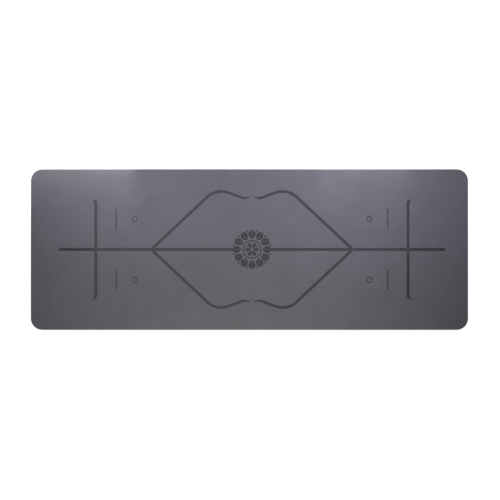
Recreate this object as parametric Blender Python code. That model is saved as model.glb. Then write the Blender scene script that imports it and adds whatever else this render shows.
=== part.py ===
"""Alignment yoga mat: four bonded plies, with the guide marks etched through the top one.

Metres, +Z up. The mat lies flat with its underside on Z = 0 and its middle over the origin.
X runs along its length and Y across it.
"""

import math

import bmesh
import bpy
from mathutils import Vector

# Outline of the mat
mat_length = 1.850
mat_width = 0.680
corner_radius = 0.048

# Plies, from the floor up, and the glue line between them
base_thickness = 0.0026
scrim_thickness = 0.0003
dark_layer_thickness = 0.0004
skin_thickness = 0.0003
glue_line = 0.0003

# Place of the whole pattern of marks, which sits a little off the middle of the mat
pattern_shift = 0.0105

# Centre line
line_width = 0.0125
line_end_margin = 0.1055
line_overlap = 0.006

# Crossbars, with a hook at each end that curls towards the nearer end of the mat
crossbar_place_share = 0.7146
crossbar_width = 0.012
crossbar_side_margin = 0.127
hook_radius = 0.010
hook_turn = math.radians(78)
hook_run = 0.009
hook_tip_length = 0.014

# Dashes and rings, which share a row on each side of the centre line
side_row_share = 0.379
dash_place_share = 0.6216
dash_length = 0.086
dash_width = 0.005
ring_place_share = 0.5373
ring_radius = 0.0127
ring_stroke = 0.0041

# Chevrons: straight arms, a round shoulder, and a brush-like sweep towards the middle
vertex_place_share = 0.4605
peak_place_share = 0.1395
peak_side_margin = 0.0945
shoulder_radius = 0.0887
sweep_fall = math.radians(20.5)
sweep_rise = math.radians(12)
sweep_width = 0.0102
tip_bend_radius = 0.078
tip_length = 0.025
tip_gap = 0.012

# Shape of a pointed tip: 1 tapers evenly, and less is blunter
tip_taper = 0.62

# Rosette: leaves with a midrib round a ring, and a small flower inside the ring
rosette_radius = 0.084
leaf_count = 12
leaf_inner_share = 0.525
leaf_width_share = 0.92
midrib_width = 0.0016
leaf_dot_radius = 0.0042
leaf_dot_place_share = 0.94
rosette_ring_share = 0.475
rosette_ring_stroke = 0.0046
petal_count = 6
petal_inner_share = 0.12
petal_outer_share = 0.88
petal_width_share = 0.78
petal_dot_radius = 0.0028
petal_dot_place_share = 0.74

# Shape of a leaf: where it is widest, and how full its sides are
leaf_lean = 1.15
leaf_fullness = 0.76

# Colours in linear light, and roughness
skin_colour = (0.138, 0.133, 0.160)
skin_roughness = 0.72
dark_colour = (0.066, 0.063, 0.080)
dark_roughness = 0.80
scrim_colour = (0.300, 0.295, 0.290)
scrim_roughness = 0.95
rubber_colour = (0.030, 0.030, 0.033)
rubber_roughness = 0.85

# Steps along the round stretches
corner_steps = 18
hook_steps = 12
shoulder_steps = 18
tip_bend_steps = 16
round_end_steps = 14
ring_steps = 44
rosette_ring_steps = 72
dot_steps = 16
leaf_steps = 14

# Making
cutter_overrun = 0.001
weld_distance = 0.000001
smooth_angle = math.radians(30)

# Heights of the plies
scrim_bottom = base_thickness + glue_line
dark_layer_bottom = scrim_bottom + scrim_thickness + glue_line
skin_bottom = dark_layer_bottom + dark_layer_thickness + glue_line
skin_top = skin_bottom + skin_thickness

# Places of the marks, measured from the middle of the pattern
half_length = mat_length / 2
half_width = mat_width / 2
line_reach = half_length - line_end_margin
crossbar_place = half_length * crossbar_place_share
crossbar_reach = half_width - crossbar_side_margin
dash_place = half_length * dash_place_share
ring_place = half_length * ring_place_share
side_row = half_width * side_row_share
vertex_place = half_length * vertex_place_share
peak_place = half_length * peak_place_share
peak_reach = half_width - peak_side_margin
rosette_ring_radius = rosette_radius * rosette_ring_share
rosette_centre_radius = rosette_ring_radius - rosette_ring_stroke

quarter_turn = math.pi / 2
full_turn = math.tau
pattern_centre = Vector((pattern_shift, 0))
sides = (-1, 1)


def unit(angle):
    return Vector((math.cos(angle), math.sin(angle)))


# Outlines


def arc(centre, radius, start, turn, steps):
    return [centre + unit(start + turn * step / steps) * radius for step in range(steps + 1)]


def circle(centre, radius, steps):
    return arc(centre, radius, 0, full_turn, steps)[:-1]


def rounded_rectangle(length, width, radius):
    outline = []
    for index, (side_x, side_y) in enumerate(((1, 1), (-1, 1), (-1, -1), (1, -1))):
        centre = Vector((side_x * (length / 2 - radius), side_y * (width / 2 - radius)))
        outline += arc(centre, radius, index * quarter_turn, quarter_turn, corner_steps)
    return outline


def round_ended_bar(start, end, width):
    """A straight mark whose half-round ends reach the points start and end."""
    along = (end - start).normalized()
    heading = math.atan2(along.y, along.x)
    radius = width / 2
    far_end = arc(end - along * radius, radius, heading - quarter_turn, math.pi, round_end_steps)
    near_end = arc(start + along * radius, radius, heading + quarter_turn, math.pi, round_end_steps)
    return far_end + near_end


def mirrored(outline, side_x, side_y):
    return [Vector((point.x * side_x, point.y * side_y)) for point in outline]


def moved(outline, offset):
    return [point + offset for point in outline]


def turned(outline, angle):
    along = unit(angle)
    across = unit(angle + quarter_turn)
    return [along * point.x + across * point.y for point in outline]


# Bands drawn along a path. A path is a list of points, each with the heading there.


def add_straight(path, length):
    point, heading = path[-1]
    path.append((point + unit(heading) * length, heading))


def add_arc(path, radius, turn, steps):
    """Adds an arc that turns to the left where turn is positive."""
    point, heading = path[-1]
    reach = math.copysign(radius, turn)
    centre = point + unit(heading + quarter_turn) * reach
    for step in range(1, steps + 1):
        new_heading = heading + turn * step / steps
        path.append((centre - unit(new_heading + quarter_turn) * reach, new_heading))


def distances_to_end(path):
    """How far the path still runs from each of its points."""
    distances = [0.0]
    for (point, _), (following, _) in zip(path[-2::-1], path[:0:-1]):
        distances.insert(0, distances[0] + (following - point).length)
    return distances


def tip_fullness(distance, length):
    """How much of its full width a pointed band has at this distance from its tip."""
    return min(1, distance / length) ** tip_taper


def band(path, left_reach, right_reach):
    """Outline from the left edge out to the path's end and back along the right edge.

    The reach of each edge is given for each point. The edges meet in a point at the end.
    """
    left_edge = []
    right_edge = []
    for (point, heading), left, right in zip(path, left_reach, right_reach):
        outward = unit(heading + quarter_turn)
        left_edge.append(point + outward * left)
        right_edge.append(point - outward * right)
    return left_edge + right_edge[-2::-1]


# Marks


def centre_line():
    inner = Vector((rosette_radius - line_overlap, 0))
    outer = Vector((line_reach, 0))
    half = round_ended_bar(inner, outer, line_width)
    return [mirrored(half, side, 1) for side in sides]


def crossbar():
    """Outline of the crossbar on the left, with its middle at the origin."""
    half = crossbar_width / 2
    hook_height = (hook_radius + half) * math.sin(hook_turn) + hook_run * math.cos(hook_turn)
    path = [(Vector((0, 0)), quarter_turn)]
    add_straight(path, crossbar_reach - hook_height)
    add_arc(path, hook_radius, hook_turn, hook_steps)
    add_straight(path, hook_run)
    outer_reach = [half] * len(path)
    inner_reach = []
    for distance in distances_to_end(path):
        inner_reach.append(crossbar_width * tip_fullness(distance, hook_tip_length) - half)
    upper = band(path, inner_reach, outer_reach)[1:-1]
    lower = mirrored(upper[::-1], 1, -1)
    return upper + lower


def crossbars():
    left = moved(crossbar(), Vector((-crossbar_place, 0)))
    return [left, mirrored(left, -1, 1)]


def dashes():
    near = Vector((dash_place, side_row - dash_length / 2))
    far = Vector((dash_place, side_row + dash_length / 2))
    dash = round_ended_bar(near, far, dash_width)
    return [mirrored(dash, side_x, side_y) for side_x in sides for side_y in sides]


def chevron_path():
    """Middle of the upper left arm, from the vertex over the shoulder to the tip."""
    vertex = Vector((-vertex_place, 0))
    shoulder_centre = Vector((-peak_place, peak_reach - shoulder_radius))
    to_centre = shoulder_centre - vertex
    arm_length = math.sqrt(to_centre.length_squared - shoulder_radius**2)
    arm_heading = math.atan2(to_centre.y, to_centre.x) + math.atan2(shoulder_radius, arm_length)
    bend_run = tip_bend_radius * (math.sin(sweep_fall) + math.sin(sweep_rise))
    shoulder_run = shoulder_radius * math.sin(sweep_fall)
    sweep_run = peak_place - tip_gap / 2 - shoulder_run - bend_run
    path = [(vertex, arm_heading)]
    add_straight(path, arm_length)
    add_arc(path, shoulder_radius, -arm_heading - sweep_fall, shoulder_steps)
    add_straight(path, sweep_run / math.cos(sweep_fall))
    add_arc(path, tip_bend_radius, sweep_fall + sweep_rise, tip_bend_steps)
    return path


def chevron_arm():
    """Upper left arm, narrowed along its sweep, with the inner edge rounded out to the tip."""
    path = chevron_path()
    distances = distances_to_end(path)
    sweep_length = distances[1]
    outer_reach = []
    inner_reach = []
    for distance in distances:
        full = min(1, distance / sweep_length)
        width = sweep_width + (line_width - sweep_width) * full
        outer_reach.append(width / 2)
        inner_reach.append(width * tip_fullness(distance, tip_length) - width / 2)
    return band(path, outer_reach, inner_reach)


def upper_arms():
    left = chevron_arm()
    return [left, mirrored(left, -1, 1)]


def lower_arms():
    return [mirrored(arm, 1, -1) for arm in upper_arms()]


def ring_places():
    """Middle of each small ring, by name."""
    places = {}
    for side_x, end in zip(sides, ("left", "right")):
        for side_y, edge in zip(sides, ("front", "back")):
            places[end + "_" + edge] = Vector((side_x * ring_place, side_y * side_row))
    return places


def ring_windows():
    return [circle(place, ring_radius, ring_steps) for place in ring_places().values()]


# Rosette


def leaf_side(length, half_leaf, inset):
    """One side of a leaf that lies along X, from its inner end to its outer end."""
    points = []
    for step in range(leaf_steps + 1):
        along = step / leaf_steps
        swell = max(0, math.sin(math.pi * along**leaf_lean)) ** leaf_fullness
        points.append(Vector((length * along, inset + (half_leaf - inset) * swell)))
    return points


def ring_of(outline, inner_radius, count, first_angle):
    outward = moved(outline, Vector((inner_radius, 0)))
    return [turned(outward, first_angle + full_turn * index / count) for index in range(count)]


def pitch(radius, count):
    return full_turn * radius / count


def rosette_leaves():
    """Leaves in two halves each, with a midrib of skin left between the halves."""
    inner = rosette_radius * leaf_inner_share
    middle = (inner + rosette_radius) / 2
    width = pitch(middle, leaf_count) * leaf_width_share
    half = leaf_side(rosette_radius - inner, width / 2, midrib_width / 2)
    halves = []
    for side in sides:
        halves += ring_of(mirrored(half, 1, side), inner, leaf_count, 0)
    return halves


def rosette_dots(place, radius, count):
    """Dots in the gaps of a ring of leaves or petals."""
    dot = circle(Vector((0, 0)), radius, dot_steps)
    return ring_of(dot, place, count, full_turn / count / 2)


def rosette_windows():
    dots = rosette_dots(rosette_radius * leaf_dot_place_share, leaf_dot_radius, leaf_count)
    ring = circle(Vector((0, 0)), rosette_ring_radius, rosette_ring_steps)
    return rosette_leaves() + dots + [ring]


def flower_windows():
    inner = rosette_centre_radius * petal_inner_share
    outer = rosette_centre_radius * petal_outer_share
    width = pitch((inner + outer) / 2, petal_count) * petal_width_share
    side = leaf_side(outer - inner, width / 2, 0)
    petal = side + mirrored(side, 1, -1)[-2:0:-1]
    petals = ring_of(petal, inner, petal_count, 0)
    dots = rosette_dots(rosette_centre_radius * petal_dot_place_share, petal_dot_radius, petal_count)
    return petals + dots


# Solids


def new_collection(name):
    collection = bpy.data.collections.new(name)
    bpy.context.scene.collection.children.link(collection)
    return collection


def outline_curve(name, outlines, thickness):
    curve = bpy.data.curves.new(name, "CURVE")
    curve.dimensions = "2D"
    curve.fill_mode = "BOTH"
    curve.extrude = thickness / 2
    for outline in outlines:
        spline = curve.splines.new("POLY")
        spline.points.add(len(outline) - 1)
        for point, place in zip(spline.points, outline):
            point.co = (place.x, place.y, 0, 1)
        spline.use_cyclic_u = True
    return curve


def slab(name, outlines, bottom, top, collection):
    """A flat piece of the given outlines, as one mesh object with welded edges."""
    guide = bpy.data.objects.new(name + "_outline", outline_curve(name, outlines, top - bottom))
    guide.location = (0, 0, (bottom + top) / 2)
    collection.objects.link(guide)
    graph = bpy.context.evaluated_depsgraph_get()
    mesh = bpy.data.meshes.new_from_object(guide.evaluated_get(graph))
    mesh.name = name
    piece = bpy.data.objects.new(name, mesh)
    piece.matrix_world = guide.matrix_world
    bpy.data.objects.remove(guide)
    collection.objects.link(piece)
    weld(mesh)
    mesh.shade_smooth()
    mesh.set_sharp_from_angle(angle=smooth_angle)
    return piece


def weld(mesh):
    edit = bmesh.new()
    edit.from_mesh(mesh)
    bmesh.ops.remove_doubles(edit, verts=edit.verts, dist=weld_distance)
    bmesh.ops.recalc_face_normals(edit, faces=edit.faces)
    edit.to_mesh(mesh)
    edit.free()


def cutter(name, outlines, collection):
    """A cutter right through the skin, placed from the middle of the pattern."""
    placed = [moved(outline, pattern_centre) for outline in outlines]
    tool = slab(name, placed, skin_bottom - cutter_overrun, skin_top + cutter_overrun, collection)
    tool.hide_render = True
    tool.display_type = "WIRE"
    return tool


def cut_with_each(piece, cutters):
    etching = piece.modifiers.new("etching", "BOOLEAN")
    etching.operation = "DIFFERENCE"
    etching.operand_type = "COLLECTION"
    etching.collection = cutters
    etching.solver = "EXACT"


def cut_with_one(piece, tool):
    etching = piece.modifiers.new("etching", "BOOLEAN")
    etching.operation = "DIFFERENCE"
    etching.object = tool
    etching.solver = "EXACT"


def new_material(name, colour, roughness):
    material = bpy.data.materials.new(name)
    material.use_nodes = True
    shader = material.node_tree.nodes["Principled BSDF"]
    shader.inputs["Base Color"].default_value = (*colour, 1)
    shader.inputs["Roughness"].default_value = roughness
    shader.inputs["Metallic"].default_value = 0
    material.diffuse_color = (*colour, 1)
    return material


# Sub-parts


def make_skin_cutters(collection):
    cutter("centre_line_cutter", centre_line(), collection)
    cutter("crossbar_cutter", crossbars(), collection)
    cutter("dash_cutter", dashes(), collection)
    cutter("upper_arm_cutter", upper_arms(), collection)
    cutter("lower_arm_cutter", lower_arms(), collection)
    cutter("ring_cutter", ring_windows(), collection)
    cutter("rosette_cutter", rosette_windows(), collection)


def make_grip_skin(outline, parts, cutters, material):
    skin = slab("grip_skin", [outline], skin_bottom, skin_top, parts)
    cut_with_each(skin, cutters)
    skin.data.materials.append(material)


def make_ring_centres(parts, material):
    """The discs of skin that stay inside the small rings."""
    for name, place in ring_places().items():
        disc = circle(place + pattern_centre, ring_radius - ring_stroke, ring_steps)
        piece = slab("ring_centre_" + name, [disc], skin_bottom, skin_top, parts)
        piece.data.materials.append(material)


def make_rosette_centre(parts, tool, material):
    """The disc of skin inside the rosette's ring, with its flower cut through."""
    disc = circle(pattern_centre, rosette_centre_radius, rosette_ring_steps)
    piece = slab("rosette_centre", [disc], skin_bottom, skin_top, parts)
    cut_with_one(piece, tool)
    piece.data.materials.append(material)


def make_ply(name, outline, bottom, thickness, parts, material):
    ply = slab(name, [outline], bottom, bottom + thickness, parts)
    ply.data.materials.append(material)


def clear_scene():
    for obj in list(bpy.context.scene.objects):
        bpy.data.objects.remove(obj)


def build():
    clear_scene()
    parts = new_collection("yoga_mat")
    skin_cutters = new_collection("skin_cutters")
    flower_cutters = new_collection("flower_cutters")
    skin_material = new_material("grey_polyurethane", skin_colour, skin_roughness)
    dark_material = new_material("dark_polyurethane", dark_colour, dark_roughness)
    scrim_material = new_material("woven_scrim", scrim_colour, scrim_roughness)
    rubber_material = new_material("black_rubber", rubber_colour, rubber_roughness)
    outline = rounded_rectangle(mat_length, mat_width, corner_radius)
    make_ply("rubber_base", outline, 0, base_thickness, parts, rubber_material)
    make_ply("fabric_scrim", outline, scrim_bottom, scrim_thickness, parts, scrim_material)
    make_ply("dark_layer", outline, dark_layer_bottom, dark_layer_thickness, parts, dark_material)
    make_skin_cutters(skin_cutters)
    make_grip_skin(outline, parts, skin_cutters, skin_material)
    make_ring_centres(parts, skin_material)
    flower_cutter = cutter("flower_cutter", flower_windows(), flower_cutters)
    make_rosette_centre(parts, flower_cutter, skin_material)


build()
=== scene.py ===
"""Looks of the alignment mat: bonded plies that lie on a pale floor, seen from straight above.

Metres, +Z up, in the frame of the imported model. Every ply is a closed sheet whose outline comes
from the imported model, with rounded rims, and all of them follow one slight lift off the floor.
"""

import math

import bpy
import numpy as np
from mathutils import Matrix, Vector
from mathutils.geometry import delaunay_2d_cdt


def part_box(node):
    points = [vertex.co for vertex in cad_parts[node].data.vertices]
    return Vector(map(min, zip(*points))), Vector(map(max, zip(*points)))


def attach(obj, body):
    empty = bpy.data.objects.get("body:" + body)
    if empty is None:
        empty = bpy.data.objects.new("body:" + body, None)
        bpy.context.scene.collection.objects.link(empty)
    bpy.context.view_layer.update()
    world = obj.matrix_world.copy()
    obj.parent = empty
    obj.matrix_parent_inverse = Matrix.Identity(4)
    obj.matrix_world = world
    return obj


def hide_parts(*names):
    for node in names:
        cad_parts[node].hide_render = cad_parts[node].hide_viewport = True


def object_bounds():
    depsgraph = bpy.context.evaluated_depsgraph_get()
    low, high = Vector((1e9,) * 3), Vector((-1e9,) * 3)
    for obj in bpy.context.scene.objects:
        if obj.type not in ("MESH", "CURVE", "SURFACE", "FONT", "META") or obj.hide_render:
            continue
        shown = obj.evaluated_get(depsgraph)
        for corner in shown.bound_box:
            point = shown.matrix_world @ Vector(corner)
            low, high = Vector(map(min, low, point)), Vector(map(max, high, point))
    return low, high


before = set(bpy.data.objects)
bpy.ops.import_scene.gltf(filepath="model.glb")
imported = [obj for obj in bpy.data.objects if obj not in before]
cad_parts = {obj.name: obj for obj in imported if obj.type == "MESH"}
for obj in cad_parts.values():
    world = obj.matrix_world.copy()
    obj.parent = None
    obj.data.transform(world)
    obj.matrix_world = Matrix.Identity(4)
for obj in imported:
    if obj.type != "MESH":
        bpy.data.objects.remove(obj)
packed_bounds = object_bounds()
low_corner, high_corner = packed_bounds
half_length = (high_corner.x - low_corner.x) / 2
half_width = (high_corner.y - low_corner.y) / 2
mat_top = high_corner.z

# Fineness of the meshes
level_tolerance = 0.00001
place_digits = 6
sheet_spacing = 0.014
window_clearance = 0.0025
merge_distance = 1e-7
sharpest_fold = 0.3
smooth_angle = math.radians(38)
rim_steps = 4
chunk_size = 2000

# What the triangulation keeps: only the triangles inside the outlines
inside_only = 1

# Heights of the bonded plies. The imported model's glue gaps are shared out among them
base_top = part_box("fabric_scrim")[0].z
scrim_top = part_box("fabric_scrim")[1].z
dark_top = (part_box("dark_layer")[1].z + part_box("grip_skin")[0].z) / 2

# Rims of the plies, and how far each edge is set back from the film's
film_rim_radius = 0.00018
ply_rim_radius = 0.00006
base_rim_radius = 0.0006
dark_setback = 0.00006
scrim_setback = 0.00009
base_setback = 0.00016
base_waist = 0.00025

# Ribs under the base, which run across it in waves
rib_pitch = 0.008
rib_depth = 0.00038
rib_samples = 4
rib_wave_height = 0.005
rib_wave_length = 0.085
rib_row_spacing = 0.014
rib_edge_spacing = 0.002
rib_clearance = 0.0009

# Rises of the mat off the floor: middle, spread along X and Y, and height of each
rises = (
    (-0.62, 0.318, 0.17, 0.065, 0.0016),
    (0.50, 0.305, 0.15, 0.060, 0.0015),
    (-0.10, -0.38, 0.22, 0.08, 0.0009),
    (-0.96, -0.05, 0.06, 0.26, 0.0012),
    (0.96, 0.08, 0.05, 0.22, 0.0010),
)

# Floor
floor_gap = 0.0002
floor_size = 60.0

# Light. The floor glows only where it is seen or mirrored, and more so farther from one place
ambient_level = 0.122
least_glow_place = (0.0, -0.35, 0.0)
glow_reach = (0.4, 1.4)
glow_levels = (0.5, 1.0)
warm = (1.0, 1.035, 0.82)
cool = (1.0, 0.985, 1.08)
pale_warm = (1.0, 1.01, 0.955)

softbox_size = (0.4, 0.4)
left_strip_size = (0.487, 0.04)
right_strip_size = (0.385, 0.04)

# Lamps with grids: place, the point of the floor that each faces, size, spread, strength, colour
lamps = {
    "front_softbox": ((0.026, -1.300, 1.374), (-0.105, -1.139), softbox_size, 1.647, 15.3, warm),
    "back_right_softbox": ((0.488, 0.610, 0.981), (0.319, 0.374), softbox_size, 2.067, 10.7, cool),
    "back_left_softbox": ((-0.504, 0.394, 0.616), (-0.716, 0.287), softbox_size, 2.781, 4.9, cool),
    "left_strip": ((-0.735, 0.445, 0.0512), (-0.735, 0.274), left_strip_size, 0.730, 2.93, pale_warm),
    "right_strip": ((0.490, 0.457, 0.0573), (0.490, 0.304), right_strip_size, 0.576, 0.81, pale_warm),
}

# Lamps so low that they would glare in the mat's sheen. They light it but aren't mirrored in it
unmirrored_lamps = ("left_strip", "right_strip")

# Camera: the photograph's frame, and the mat's length and middle in it
frame_pixels = 500
mat_length_pixels = 437.1
mat_middle_pixel = (249.47, 249.5)
pixel_size = 2 * half_length / mat_length_pixels
lens = 50.0
sensor = 36.0

# Where the etching's colour differs, from the pattern's middle, with shares of the mat's half length.
# Each reach gives the distances at which the other colour ends and is full
pattern_shift = 0.0105
crossbar_place_share = 0.7146
vertex_place_share = 0.4605
crossing_shares = (-crossbar_place_share, crossbar_place_share, -vertex_place_share, vertex_place_share)
crossings = [(half_length * share, 0.0) for share in crossing_shares]
crossing_reach = (0.009, 0.003)
# Painted shade: the centre line is darker towards its ends
line_ends = [(-0.80, 0.0), (0.80, 0.0)]
line_end_reach = (0.14, 0.11)
# Painted sheen: the etching is paler along this stretch
painted_sheen_stretch = [(-0.37, 0.0)]
painted_sheen_reach = (0.46, 0.34)
rosette_middle = [(0.0, 0.0)]
rosette_reach = (0.1, 0.086)
# Painted shade: the marks in the front right corner are darker
shaded_corner_marks = [(0.63, -0.15)]
shaded_corner_reach = (0.14, 0.05)

# Noise: the range that its values mostly cover, for soft mottles and for fine grains, and octaves
soft_range = (0.3, 0.7)
fine_range = (0.25, 0.75)
few_octaves = 2.0
some_octaves = 3.0
many_octaves = 4.0

# Film's surface: sizes of its features, and depth and strength of each relief
film_mottle_size = 0.16
film_mottle_swirl = 0.6
film_speckle_size = 0.0024
film_speckle_shares = (0.92, 1.12)
pebble_size = 0.0013
pebble_reach_share = 0.75
pebble_relief = (0.0002, 0.9)
# Painted shade in the grain's pits: where between the pebbles it falls, and how dark it gets
pit_reach_shares = (0.05, 0.5)
pit_shade_shares = (0.84, 1.0)
tooth_size = 0.0005
tooth_relief = (0.00005, 0.6)
film_wear_size = 0.05
film_roughness = (0.72, 0.84)
film_gloss = 0.3

# Etched coat's surface
etched_mottle_size = 0.03
dust_size = 0.0009
dust_shares = (0.88, 1.12)
scan_scale = 320.0
scan_wobble = 0.4
scan_relief = (0.00007, 0.6)
burn_size = 0.0008
burn_relief = (0.0001, 0.7)
etched_roughness = 0.82
etched_gloss = 0.25

# Scrim's weave
weave_scale = 180.0
weave_wobble = 0.3
weave_relief = (0.0001, 0.7)
scrim_roughness = 0.95
scrim_gloss = 0.2

# Rubber's surface
bloom_size = 0.04
bloom_range = (0.35, 0.75)
foam_cell_size = 0.0005
foam_relief = (0.0001, 0.6)
rubber_skin_size = 0.0025
rubber_skin_relief = (0.0001, 0.4)
rubber_wear_size = 0.015
rubber_roughness = (0.78, 0.9)
rubber_gloss = 0.3

# Colours in linear light
film_colour = (0.134, 0.130, 0.151)
film_pale_colour = (0.147, 0.142, 0.166)
etched_colour = (0.049, 0.047, 0.057)
etched_pale_colour = (0.058, 0.056, 0.068)
# Painted sheen on the etching, then painted shade at the centre line's ends and in one corner's marks
etched_painted_sheen_colour = (0.063, 0.061, 0.073)
etched_line_end_shade_colour = (0.044, 0.042, 0.051)
etched_corner_shade_colour = (0.038, 0.0365, 0.044)
crossing_colour = (0.080, 0.077, 0.092)
scrim_colour = (0.42, 0.415, 0.41)
scrim_dark_colour = (0.24, 0.235, 0.23)
rubber_colour = (0.028, 0.028, 0.031)
rubber_pale_colour = (0.046, 0.046, 0.049)
floor_colour = (0.79, 0.785, 0.82)
white = (1.0, 1.0, 1.0)

# Changes of the etching's colour, each laid over those before it: a painted sheen along one stretch,
# the rosette's plain colour, painted shade at the line's ends and in one corner's marks, paler crossings
etched_changes = (
    (painted_sheen_stretch, painted_sheen_reach, etched_painted_sheen_colour),
    (rosette_middle, rosette_reach, etched_colour),
    (line_ends, line_end_reach, etched_line_end_shade_colour),
    (shaded_corner_marks, shaded_corner_reach, etched_corner_shade_colour),
    (crossings, crossing_reach, crossing_colour),
)


# Outlines


def top_edges(node):
    """Edges round a node's upper face, each with that face on its left."""
    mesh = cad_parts[node].data
    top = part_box(node)[1].z
    edges = {}
    for face in mesh.polygons:
        corners = [mesh.vertices[index].co for index in face.vertices]
        if min(corner.z for corner in corners) < top - level_tolerance:
            continue
        places = [(round(corner.x, place_digits), round(corner.y, place_digits)) for corner in corners]
        for edge in zip(places, places[1:] + places[:1]):
            if edge[::-1] in edges:
                del edges[edge[::-1]]
            else:
                edges[edge] = True
    return list(edges)


def top_loops(node):
    """Outlines of a node's upper face. Each runs with the sheet on its left."""
    following = dict(top_edges(node))
    loops = []
    while following:
        start = next(iter(following))
        loop = [start]
        place = following.pop(start)
        while place != start:
            loop.append(place)
            place = following.pop(place)
        loops.append(np.array(loop))
    return loops


def divided(loop, spacing):
    """The loop with its long edges divided into equal parts."""
    points = []
    for start, end in zip(loop, np.roll(loop, -1, axis=0)):
        count = max(1, math.ceil(np.linalg.norm(end - start) / spacing))
        points += [start + (end - start) * step / count for step in range(count)]
    return np.array(points)


def inset(loop, distance):
    """The loop moved to its left by the distance, with mitred corners."""
    ahead = np.roll(loop, -1, axis=0) - loop
    ahead /= np.linalg.norm(ahead, axis=1, keepdims=True)
    left = np.column_stack((-ahead[:, 1], ahead[:, 0]))
    left_before = np.roll(left, 1, axis=0)
    fold = 1 + np.sum(left * left_before, axis=1, keepdims=True)
    return loop + distance * (left + left_before) / np.maximum(fold, sharpest_fold)


def loop_edges(loops):
    """Pairs of point numbers along each loop, where the loops' points are numbered in turn."""
    edges = []
    first = 0
    for loop in loops:
        count = len(loop)
        edges += [(first + index, first + (index + 1) % count) for index in range(count)]
        first += count
    return np.array(edges)


def corner_radius(loops):
    """Radius of the outline's corners, from where its long straight edge ends."""
    outline = max(loops, key=lambda loop: loop[:, 0].max())
    on_edge = outline[:, 1] > outline[:, 1].max() - level_tolerance
    return outline[:, 0].max() - outline[on_edge, 0].max()


def depth_inside(points, radius):
    """How deep each point lies inside the mat's outline."""
    beyond = np.abs(points) - np.array((half_length - radius, half_width - radius))
    past_corner = np.linalg.norm(np.maximum(beyond, 0), axis=1)
    return radius - past_corner - np.minimum(beyond.max(axis=1), 0)


def crossed_oddly(points, starts, ends):
    """Whether a ray along +X from each point crosses the edges an odd number of times."""
    run = ends - starts
    slope = np.divide(run[:, 0], run[:, 1], out=np.zeros(len(run)), where=run[:, 1] != 0)
    odd = []
    for first in range(0, len(points), chunk_size):
        x = points[first:first + chunk_size, 0, None]
        y = points[first:first + chunk_size, 1, None]
        spans = (starts[:, 1] > y) != (ends[:, 1] > y)
        crossing = starts[:, 0] + (y - starts[:, 1]) * slope
        odd.append(np.sum(spans & (crossing > x), axis=1) % 2 == 1)
    return np.concatenate(odd)


def clear_of(points, starts, ends, clearance):
    """Whether each point keeps the clearance to every edge."""
    run = ends - starts
    length_squared = np.sum(run * run, axis=1)
    clear = []
    for first in range(0, len(points), chunk_size):
        offset = points[first:first + chunk_size, None] - starts
        along = np.clip(np.sum(offset * run, axis=2) / length_squared, 0, 1)
        nearest = np.linalg.norm(offset - along[..., None] * run, axis=2).min(axis=1)
        clear.append(nearest > clearance)
    return np.concatenate(clear)


# Sheets


def lift(points):
    """Height of the mat off the floor at each point."""
    height = np.zeros(len(points))
    for middle_x, middle_y, spread_x, spread_y, rise in rises:
        away_x = (points[:, 0] - middle_x) / spread_x
        away_y = (points[:, 1] - middle_y) / spread_y
        height += rise * np.exp(-away_x**2 - away_y**2)
    return height


def lattice(step_x, step_y):
    """Points of a regular grid over the mat."""
    columns = math.ceil(half_length / step_x)
    rows = math.ceil(half_width / step_y)
    x, y = np.meshgrid(np.arange(-columns, columns + 1) * step_x, np.arange(-rows, rows + 1) * step_y)
    return np.column_stack((x.ravel(), y.ravel()))


def sheet_lattice(loops, radius):
    """Grid points inside the sheet, clear of its outline and of its windows."""
    points = lattice(sheet_spacing, sheet_spacing)
    points = points[depth_inside(points, radius) > sheet_spacing / 2]
    if len(loops) > 1:
        rim = np.concatenate(loops)
        edges = loop_edges(loops)
        starts = rim[edges[:, 0]]
        ends = rim[edges[:, 1]]
        points = points[crossed_oddly(points, starts, ends)]
        points = points[clear_of(points, starts, ends, window_clearance)]
    return points


def cap(loops, inner, bend):
    """Triangles of the sheet, on the loops' points and the inner ones, drawn with the bend undone."""
    points = np.concatenate(loops + [inner])
    flat = points - bend(points)
    edges = loop_edges(loops)
    given = [Vector(point) for point in flat]
    made = delaunay_2d_cdt(given, edges.tolist(), [], inside_only, merge_distance)
    made_points, _, made_faces, sources, _, _ = made
    if len(made_points) != len(points):
        raise ValueError("the outlines of the sheet cross each other")
    triangles = np.array([[sources[corner][0] for corner in face] for face in made_faces])
    if len(loops) > 1:
        middles = flat[triangles].mean(axis=1)
        triangles = triangles[crossed_oddly(middles, flat[edges[:, 0]], flat[edges[:, 1]])]
    return triangles


def no_bend(points):
    return np.zeros_like(points)


def no_relief(points):
    return np.zeros(len(points))


def raised(places, height, lowest, relief):
    """Points at the height, lifted with the mat. The relief fades out over the lower rim's rounding."""
    fade = max(0, 1 - (height - lowest) / base_rim_radius)
    return np.column_stack((places, height + lift(places) + relief(places) * fade))


def renumbered(triangles, count, rim_start, inner_start):
    """The cap's triangles in the mesh's own point numbers. The first count points are on its rim."""
    return np.where(triangles < count, triangles + rim_start, triangles - count + inner_start)


def rim_faces(loops, count, levels):
    """Faces of the rim, between each ring of count points and the next one down."""
    faces = []
    for start, end in loop_edges(loops).tolist():
        for level in range(levels - 1):
            above = level * count
            below = above + count
            faces.append((start + above, start + below, end + below, end + above))
    return faces


def smooth_mesh(name, points, faces):
    mesh = bpy.data.meshes.new(name)
    mesh.from_pydata(points.tolist(), [], faces)
    mesh.validate()
    mesh.shade_smooth()
    mesh.set_sharp_from_angle(angle=smooth_angle)
    return mesh


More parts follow.
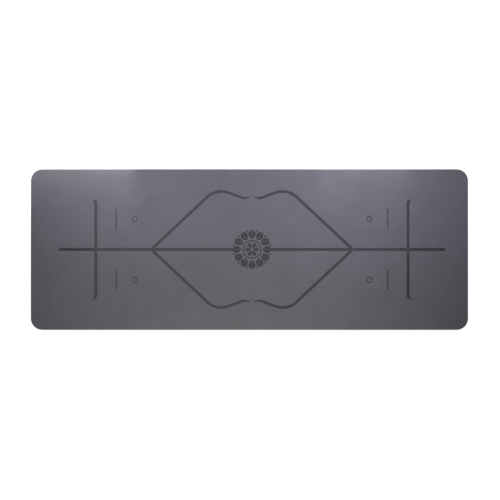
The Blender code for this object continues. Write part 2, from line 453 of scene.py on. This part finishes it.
def sheet_mesh(name, loops, profile, upper_inner, lower_inner, bend=no_bend, relief=no_relief):
    """A closed sheet, with more points inside its upper face and inside its lower one.

    The profile gives the inset and height of each ring of the rim, downwards. The relief lifts the
    lower face, and the bend is the way its points swing.
    """
    highest = profile[0][1]
    lowest = profile[-1][1]
    rings = [[inset(loop, distance) for loop in loops] for distance, _ in profile]
    places = [np.concatenate(ring) for ring in rings]
    points = [raised(ring, height, lowest, relief) for ring, (_, height) in zip(places, profile)]
    points.append(raised(upper_inner, highest, lowest, no_relief))
    points.append(raised(lower_inner, lowest, lowest, relief))
    count = len(places[0])
    upper_start = count * len(rings)
    lower_start = upper_start + len(upper_inner)
    upper = renumbered(cap(rings[0], upper_inner, no_bend), count, 0, upper_start)
    lower = renumbered(cap(rings[-1], lower_inner, bend), count, upper_start - count, lower_start)
    faces = upper.tolist() + lower[:, ::-1].tolist() + rim_faces(loops, count, len(rings))
    return smooth_mesh(name, np.concatenate(points), faces)


def rim_profile(top, bottom, top_radius, bottom_radius, setback=0.0, waist=0.0):
    """Insets and heights from the upper face, round the upper rim and down to the lower face."""
    profile = []
    for step in range(rim_steps + 1):
        angle = math.pi / 2 * step / rim_steps
        height = top - top_radius * (1 - math.cos(angle))
        profile.append((setback + top_radius * (1 - math.sin(angle)), height))
    if waist:
        middle = (top - top_radius + bottom + bottom_radius) / 2
        profile.append((setback + waist, middle))
    for step in range(rim_steps + 1):
        angle = math.pi / 2 * step / rim_steps
        height = bottom + bottom_radius * (1 - math.sin(angle))
        profile.append((setback + bottom_radius * (1 - math.cos(angle)), height))
    return profile


# Ribs of the underside


def rib_bend(points):
    """Shift along X of the ribs, which swings from side to side across the mat."""
    shift = rib_wave_height * np.sin(math.tau * points[:, 1] / rib_wave_length)
    return np.column_stack((shift, np.zeros(len(points))))


def rib_relief(points):
    """Height of the lower face over its ribs' crests."""
    across = points[:, 0] - rib_bend(points)[:, 0]
    return rib_depth * (0.5 - 0.5 * np.cos(math.tau * across / rib_pitch))


def rib_lattice(radius):
    points = lattice(rib_pitch / rib_samples, rib_row_spacing)
    points = points + rib_bend(points)
    return points[depth_inside(points, radius) > base_rim_radius + rib_clearance]


# Materials


def new_tree(name):
    """A new material with its node tree and its shader."""
    material = bpy.data.materials.new(name)
    material.use_nodes = True
    tree = material.node_tree
    return material, tree, tree.nodes["Principled BSDF"]


def add_node(tree, kind, inputs=(), **settings):
    """A new node. The inputs are pairs of a socket's name or number and its value or link."""
    node = tree.nodes.new(kind)
    for name, value in settings.items():
        setattr(node, name, value)
    for socket, value in inputs:
        if isinstance(value, bpy.types.NodeSocket):
            tree.links.new(value, node.inputs[socket])
        else:
            node.inputs[socket].default_value = value
    return node


def object_place(tree):
    return add_node(tree, "ShaderNodeTexCoord").outputs["Object"]


def noise(tree, place, size, octaves=few_octaves, distortion=0.0):
    """Soft noise whose features are about the given size, from 0 to 1."""
    inputs = [("Vector", place), ("Scale", 1 / size), ("Detail", octaves), ("Distortion", distortion)]
    return add_node(tree, "ShaderNodeTexNoise", inputs).outputs["Fac"]


def cells(tree, place, size):
    """Distance from the middle of each of many small cells."""
    inputs = [("Vector", place), ("Scale", 1 / size)]
    return add_node(tree, "ShaderNodeTexVoronoi", inputs).outputs["Distance"]


def bands(tree, place, direction, scale, wobble):
    """Fine parallel bands, from 0 to 1."""
    inputs = [("Vector", place), ("Scale", scale), ("Distortion", wobble)]
    return add_node(tree, "ShaderNodeTexWave", inputs, bands_direction=direction).outputs["Fac"]


def stretched(tree, value, low, high, to_low=0.0, to_high=1.0):
    """The value's range from low to high, spread over another range."""
    given = [("Value", value), ("From Min", low), ("From Max", high)]
    spread = [("To Min", to_low), ("To Max", to_high)]
    return add_node(tree, "ShaderNodeMapRange", given + spread).outputs["Result"]


def blended(tree, share, first, second):
    """Two colours mixed by a share. Each is a link or, where it is even, a tuple."""
    node = add_node(tree, "ShaderNodeMix", data_type="RGBA")
    sockets = {socket.identifier: socket for socket in node.inputs}
    for name, value in (("Factor_Float", share), ("A_Color", first), ("B_Color", second)):
        if isinstance(value, tuple):
            sockets[name].default_value = (*value, 1)
        else:
            tree.links.new(value, sockets[name])
    return next(socket for socket in node.outputs if socket.identifier == "Result_Color")


def relieved(tree, height, relief, normal=None):
    """The normal of a relief, which is its depth and strength, over that of a coarser one."""
    depth, strength = relief
    inputs = [("Height", height), ("Distance", depth), ("Strength", strength)]
    if normal is not None:
        inputs.append(("Normal", normal))
    return add_node(tree, "ShaderNodeBump", inputs).outputs["Normal"]


def multiplied(tree, colour, share):
    node = add_node(tree, "ShaderNodeVectorMath", [(0, colour), (1, share)], operation="MULTIPLY")
    return node.outputs[0]


def film_material():
    """Matte polyurethane film: soft mottling over a fine pebbled grain, with painted shade in the
    grain's pits.
    """
    material, tree, shader = new_tree("grip_film")
    place = object_place(tree)
    clouds = noise(tree, place, film_mottle_size, some_octaves, film_mottle_swirl)
    colour = blended(tree, stretched(tree, clouds, *soft_range), film_colour, film_pale_colour)
    flecks = noise(tree, place, film_speckle_size, many_octaves)
    speckle = stretched(tree, flecks, *fine_range, *film_speckle_shares)
    pebbles = stretched(tree, cells(tree, place, pebble_size), 0.0, pebble_reach_share, 1.0, 0.0)
    # Painted shade between the pebbles, darker deeper in the pits
    pit_shade = stretched(tree, pebbles, *pit_reach_shares, *pit_shade_shares)
    colour = multiplied(tree, multiplied(tree, colour, speckle), pit_shade)
    tree.links.new(colour, shader.inputs["Base Color"])
    wear = noise(tree, place, film_wear_size, many_octaves)
    tree.links.new(stretched(tree, wear, *soft_range, *film_roughness), shader.inputs["Roughness"])
    grain = relieved(tree, pebbles, pebble_relief)
    tooth = relieved(tree, noise(tree, place, tooth_size, some_octaves), tooth_relief, grain)
    tree.links.new(tooth, shader.inputs["Normal"])
    shader.inputs["Specular IOR Level"].default_value = film_gloss
    return material


def near_spots(tree, place, spots, reach):
    """A share that is 1 near each spot and falls to 0 farther off, as the reach says."""
    highest = None
    for x, y in spots:
        middle = (x + pattern_shift, y, mat_top)
        away = add_node(tree, "ShaderNodeVectorMath", [(0, place), (1, middle)], operation="DISTANCE")
        share = stretched(tree, away.outputs["Value"], *reach)
        if highest is None:
            highest = share
        else:
            both = [(0, highest), (1, share)]
            highest = add_node(tree, "ShaderNodeMath", both, operation="MAXIMUM").outputs[0]
    return highest


def etched_material():
    """The darker coat that the laser laid bare, with faint scan lines and a dusty grain.

    It is paler where marks cross, and has a painted sheen along one stretch. It is darker in the
    rosette, and has painted shade at the centre line's ends and in the marks of one corner.
    """
    material, tree, shader = new_tree("etched_coat")
    place = object_place(tree)
    mottle = stretched(tree, noise(tree, place, etched_mottle_size, some_octaves), *soft_range)
    colour = blended(tree, mottle, etched_colour, etched_pale_colour)
    for spots, reach, spot_colour in etched_changes:
        colour = blended(tree, near_spots(tree, place, spots, reach), colour, spot_colour)
    dust = stretched(tree, noise(tree, place, dust_size), *fine_range, *dust_shares)
    tree.links.new(multiplied(tree, colour, dust), shader.inputs["Base Color"])
    lines = relieved(tree, bands(tree, place, "Y", scan_scale, scan_wobble), scan_relief)
    burn = relieved(tree, noise(tree, place, burn_size, some_octaves), burn_relief, lines)
    tree.links.new(burn, shader.inputs["Normal"])
    shader.inputs["Roughness"].default_value = etched_roughness
    shader.inputs["Specular IOR Level"].default_value = etched_gloss
    return material


def scrim_material():
    """Thin plain-woven cloth, of which only the cut edge shows."""
    material, tree, shader = new_tree("woven_scrim")
    place = object_place(tree)
    warp, weft = (bands(tree, place, direction, weave_scale, weave_wobble) for direction in ("X", "Y"))
    weave = add_node(tree, "ShaderNodeMath", [(0, warp), (1, weft)], operation="MULTIPLY").outputs[0]
    colour = blended(tree, weave, scrim_dark_colour, scrim_colour)
    tree.links.new(colour, shader.inputs["Base Color"])
    tree.links.new(relieved(tree, weave, weave_relief), shader.inputs["Normal"])
    shader.inputs["Roughness"].default_value = scrim_roughness
    shader.inputs["Specular IOR Level"].default_value = scrim_gloss
    return material


def rubber_material():
    """Natural rubber foam: black, with fine closed cells and a paler bloom."""
    material, tree, shader = new_tree("rubber_foam")
    place = object_place(tree)
    bloom = stretched(tree, noise(tree, place, bloom_size, many_octaves), *bloom_range)
    colour = blended(tree, bloom, rubber_colour, rubber_pale_colour)
    tree.links.new(colour, shader.inputs["Base Color"])
    foam = relieved(tree, cells(tree, place, foam_cell_size), foam_relief)
    skin = relieved(tree, noise(tree, place, rubber_skin_size, some_octaves), rubber_skin_relief, foam)
    tree.links.new(skin, shader.inputs["Normal"])
    rough = stretched(tree, noise(tree, place, rubber_wear_size), *soft_range, *rubber_roughness)
    tree.links.new(rough, shader.inputs["Roughness"])
    shader.inputs["Specular IOR Level"].default_value = rubber_gloss
    return material


def seen_directly(tree):
    """A share that is 1 for rays from the camera, a glossy surface or a clear one."""
    path = add_node(tree, "ShaderNodeLightPath")
    first = [(0, path.outputs["Is Camera Ray"]), (1, path.outputs["Is Glossy Ray"])]
    either = add_node(tree, "ShaderNodeMath", first, operation="MAXIMUM").outputs[0]
    second = [(0, either), (1, path.outputs["Is Transmission Ray"])]
    return add_node(tree, "ShaderNodeMath", second, operation="MAXIMUM").outputs[0]


# Pieces


def add_piece(mesh, node, material):
    piece = bpy.data.objects.new(mesh.name, mesh)
    bpy.context.scene.collection.objects.link(piece)
    mesh.materials.append(material)
    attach(piece, "root")
    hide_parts(node)
    return piece


def make_film(material):
    """The grip film and the discs of it that stay inside the rings."""
    profile = rim_profile(mat_top, dark_top, film_rim_radius, ply_rim_radius)
    for node in sorted(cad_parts):
        if node not in ("grip_skin", "rosette_centre") and not node.startswith("ring_centre"):
            continue
        loops = [divided(loop, sheet_spacing) for loop in top_loops(node)]
        inner = np.zeros((0, 2))
        if node == "grip_skin":
            inner = sheet_lattice(loops, corner_radius(loops))
        mesh = sheet_mesh("film_" + node, loops, profile, inner, inner)
        add_piece(mesh, node, material)


def make_ply(name, node, top, bottom, setback, material):
    loops = [divided(loop, sheet_spacing) for loop in top_loops(node)]
    inner = sheet_lattice(loops, corner_radius(loops))
    profile = rim_profile(top, bottom, ply_rim_radius, ply_rim_radius, setback)
    return add_piece(sheet_mesh(name, loops, profile, inner, inner), node, material)


def make_base(material):
    """The rubber foam, waisted a little where it was cut, with its ribbed underside."""
    loops = [divided(loop, rib_edge_spacing) for loop in top_loops("rubber_base")]
    radius = corner_radius(loops)
    profile = rim_profile(base_top, 0.0, ply_rim_radius, base_rim_radius, base_setback, base_waist)
    upper = sheet_lattice(loops, radius)
    lower = rib_lattice(radius)
    mesh = sheet_mesh("foam_base", loops, profile, upper, lower, rib_bend, rib_relief)
    return add_piece(mesh, "rubber_base", material)


# Stage, light and camera


def make_floor():
    mesh = bpy.data.meshes.new("floor")
    reach = floor_size / 2
    corners = [(-reach, -reach, 0), (reach, -reach, 0), (reach, reach, 0), (-reach, reach, 0)]
    mesh.from_pydata(corners, [], [(0, 1, 2, 3)])
    floor = bpy.data.objects.new("floor", mesh)
    floor.location.z = -floor_gap
    bpy.context.scene.collection.objects.link(floor)
    mesh.materials.append(floor_material())


def floor_material():
    """Pale matte floor. What the camera sees of it is raised towards white, and keeps the shadow."""
    material, tree, shader = new_tree("pale_floor")
    shader.inputs["Base Color"].default_value = (*floor_colour, 1)
    shader.inputs["Roughness"].default_value = 1.0
    shader.inputs["Specular IOR Level"].default_value = 0.0
    shader.inputs["Emission Color"].default_value = (*white, 1)
    away = [(0, object_place(tree)), (1, least_glow_place)]
    distance = add_node(tree, "ShaderNodeVectorMath", away, operation="DISTANCE").outputs["Value"]
    level = stretched(tree, distance, *glow_reach, *glow_levels)
    glow = add_node(tree, "ShaderNodeMath", [(0, seen_directly(tree)), (1, level)], operation="MULTIPLY")
    tree.links.new(glow.outputs[0], shader.inputs["Emission Strength"])
    return material


def light_world():
    """Dim even light all round, and white wherever the world itself is seen."""
    world = bpy.data.worlds.new("studio")
    bpy.context.scene.world = world
    world.use_nodes = True
    tree = world.node_tree
    background = tree.nodes["Background"]
    background.inputs["Color"].default_value = (*white, 1)
    strength = stretched(tree, seen_directly(tree), 0.0, 1.0, ambient_level, 1.0)
    tree.links.new(strength, background.inputs["Strength"])


def add_lamp(name, place, target, size, spread, strength, colour):
    width, height = size
    away = Vector(place) - Vector((*target, 0.0))
    data = bpy.data.lights.new(name, "AREA")
    data.shape = "RECTANGLE"
    data.size = width
    data.size_y = height
    data.spread = spread
    data.energy = strength * math.pi * width * height
    data.color = colour
    lamp = bpy.data.objects.new(name, data)
    lamp.location = place
    lamp.rotation_euler = away.to_track_quat("Z", "Y").to_euler()
    lamp.visible_camera = False
    lamp.visible_glossy = name not in unmirrored_lamps
    bpy.context.scene.collection.objects.link(lamp)


def add_camera():
    """Straight above the mat, at the photograph's scale."""
    data = bpy.data.cameras.new("camera")
    data.lens = lens
    data.sensor_width = sensor
    camera = bpy.data.objects.new("camera", data)
    distance = frame_pixels * pixel_size * lens / sensor
    frame_middle = frame_pixels / 2
    camera.location = (
        (frame_middle - mat_middle_pixel[0]) * pixel_size,
        (mat_middle_pixel[1] - frame_middle) * pixel_size,
        mat_top + distance,
    )
    bpy.context.scene.collection.objects.link(camera)
    bpy.context.scene.camera = camera


def build():
    make_film(film_material())
    etched = etched_material()
    make_ply("dark_coat", "dark_layer", dark_top, scrim_top, dark_setback, etched)
    woven = scrim_material()
    scrim = make_ply("scrim_cloth", "fabric_scrim", scrim_top, base_top, scrim_setback, woven)
    base = make_base(rubber_material())
    make_floor()
    light_world()
    for name, lamp in lamps.items():
        add_lamp(name, *lamp)
    add_camera()
    bpy.context.scene.view_settings.view_transform = "Standard"


build()
